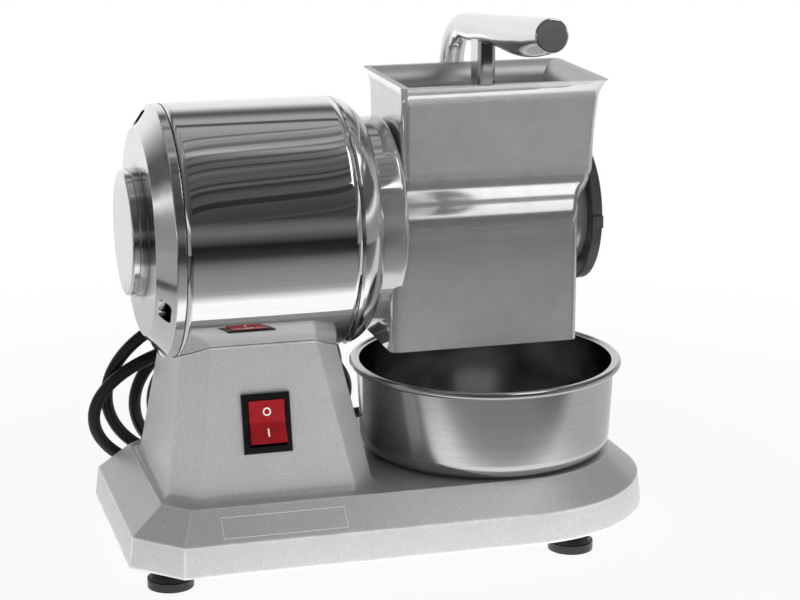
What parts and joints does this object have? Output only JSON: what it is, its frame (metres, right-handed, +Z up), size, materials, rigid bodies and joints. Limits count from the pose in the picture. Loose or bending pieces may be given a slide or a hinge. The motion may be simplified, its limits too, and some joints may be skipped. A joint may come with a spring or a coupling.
{
  "type": "electric grater",
  "caption": "Tabletop electric grater: motor on a pedestal base, flared hopper with a hinged pusher lever over a toothed drum, chute and round catch bowl.",
  "frame": {"origin": "middle of the box on the floor, without the cord; the motor axis is above it", "axes": "+X along the motor axis towards the hopper, -Y the front with the switch and the grip, +Z up"},
  "size_m": [0.3175, 0.2779, 0.2908],
  "materials": {
    "sparkle_paint": "silver paint with fine metal flake",
    "mirror_steel": "mirror polished stainless steel",
    "polished_casting": "polished cast aluminium",
    "satin_steel": "satin stainless steel",
    "screw_steel": "turned steel",
    "zinc_sheet": "zinc-plated sheet",
    "black_rubber": "moulded rubber",
    "cord_sheath": "smooth black cord sheath",
    "black_plastic": "black moulded plastic",
    "grey_plastic": "grey moulded plastic",
    "red_plastic": "glossy red plastic",
    "lamination": "stacked steel sheet",
    "copper_wire": "lacquered copper wire",
    "brass_metal": "turned brass"
  },
  "bodies": {
    "frame": {"base_casting": "sparkle_paint", "bottom_plate": "zinc_sheet", "bottom_plate_screws": "screw_steel", "rubber_feet": "black_rubber", "foot_screws": "screw_steel", "switch_housing": "black_plastic", "switch_terminals": "brass_metal", "capacitor": "grey_plastic", "terminal_block": "grey_plastic", "motor_shell": "mirror_steel", "motor_screws": "screw_steel", "rear_cap": "polished_casting", "rear_cap_screws": "screw_steel", "front_bell": "polished_casting", "flange_bolts": "screw_steel", "stator_core": "lamination", "stator_windings": "copper_wire", "rear_bearing": "screw_steel", "front_bearing": "screw_steel", "grater_body": "polished_casting", "shaft_seal": "black_rubber", "hinge_pin": "screw_steel", "cord_gland": "black_rubber", "cord_lead": "cord_sheath", "cord_coil": "cord_sheath", "cord_tail": "cord_sheath", "plug_body": "black_plastic", "plug_pins": "brass_metal"},
    "rotor": {"rotor_shaft": "screw_steel", "rotor_core": "lamination", "cooling_fan": "black_plastic", "grating_drum": "satin_steel", "drive_pin": "screw_steel"},
    "lever": {"pusher_lever": "polished_casting", "pusher_plate": "polished_casting", "pusher_screw": "screw_steel"},
    "rocker": {"switch_rocker": "red_plastic"},
    "bowl": {"catch_bowl": "satin_steel"},
    "cover": {"end_cover": "polished_casting", "end_bush": "brass_metal"},
    "ring": {"cover_ring": "black_plastic"}
  },
  "joints": [
    {"name": "drum_spin", "type": "hinge", "parent": "frame", "child": "rotor", "pos_m": [0, 0, 0.1727], "axis": [1, 0, 0], "continuous": true},
    {"name": "lever_lift", "type": "hinge", "parent": "frame", "child": "lever", "pos_m": [0.058, 0.059, 0.2314], "axis": [-1, 0, 0], "range_deg": [0, 100]},
    {"name": "switch_rock", "type": "hinge", "parent": "frame", "child": "rocker", "pos_m": [-0.073, -0.04652, 0.07842], "axis": [1, 0, 0], "range_deg": [0, 16]},
    {"name": "bowl_slide", "type": "slide", "parent": "frame", "child": "bowl", "axis": [0, -1, 0], "range_m": [0, 0.15]},
    {"name": "cover_pull", "type": "slide", "parent": "frame", "child": "cover", "axis": [1, 0, 0], "range_m": [0, 0.06]},
    {"name": "ring_turn", "type": "hinge", "parent": "cover", "child": "ring", "pos_m": [0.11, 0, 0.1727], "axis": [1, 0, 0], "range_deg": [0, 720]}
  ]
}
